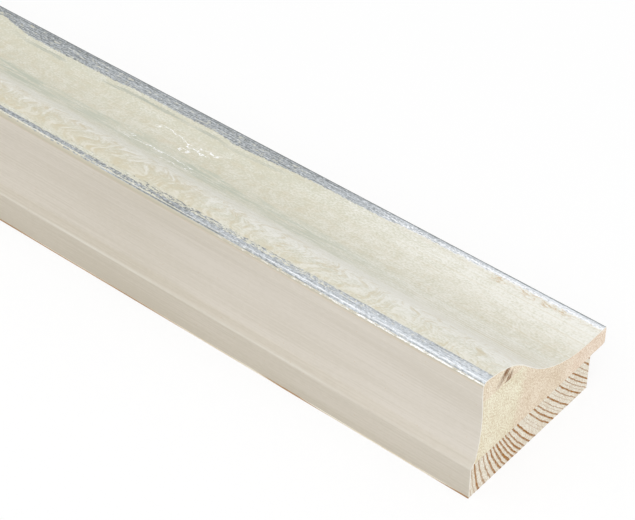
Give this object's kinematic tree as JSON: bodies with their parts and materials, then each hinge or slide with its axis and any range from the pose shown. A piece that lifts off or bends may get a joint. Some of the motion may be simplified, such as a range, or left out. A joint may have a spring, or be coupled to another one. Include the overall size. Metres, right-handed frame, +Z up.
{
  "type": "picture frame moulding",
  "caption": "Straight picture frame moulding with a coved outer side, a rounded silvered nose, a cream ogee face falling to a thin sight edge, and a rebate below it.",
  "frame": {"origin": "middle of the stick's box, at floor level, with the stick lying on its back", "axes": "+X along the stick, +Y from the outer side towards the sight edge, +Z up from the back to the nose"},
  "size_m": [1.2, 0.08, 0.052],
  "materials": {
    "base_pine": "matte",
    "middle_pine": "matte",
    "top_pine": "matte",
    "painted_gesso": "satin"
  },
  "bodies": {
    "root": {"base_stave": "base_pine", "middle_stave": "middle_pine", "top_stave": "top_pine", "gesso_coat": "painted_gesso"}
  },
  "joints": []
}
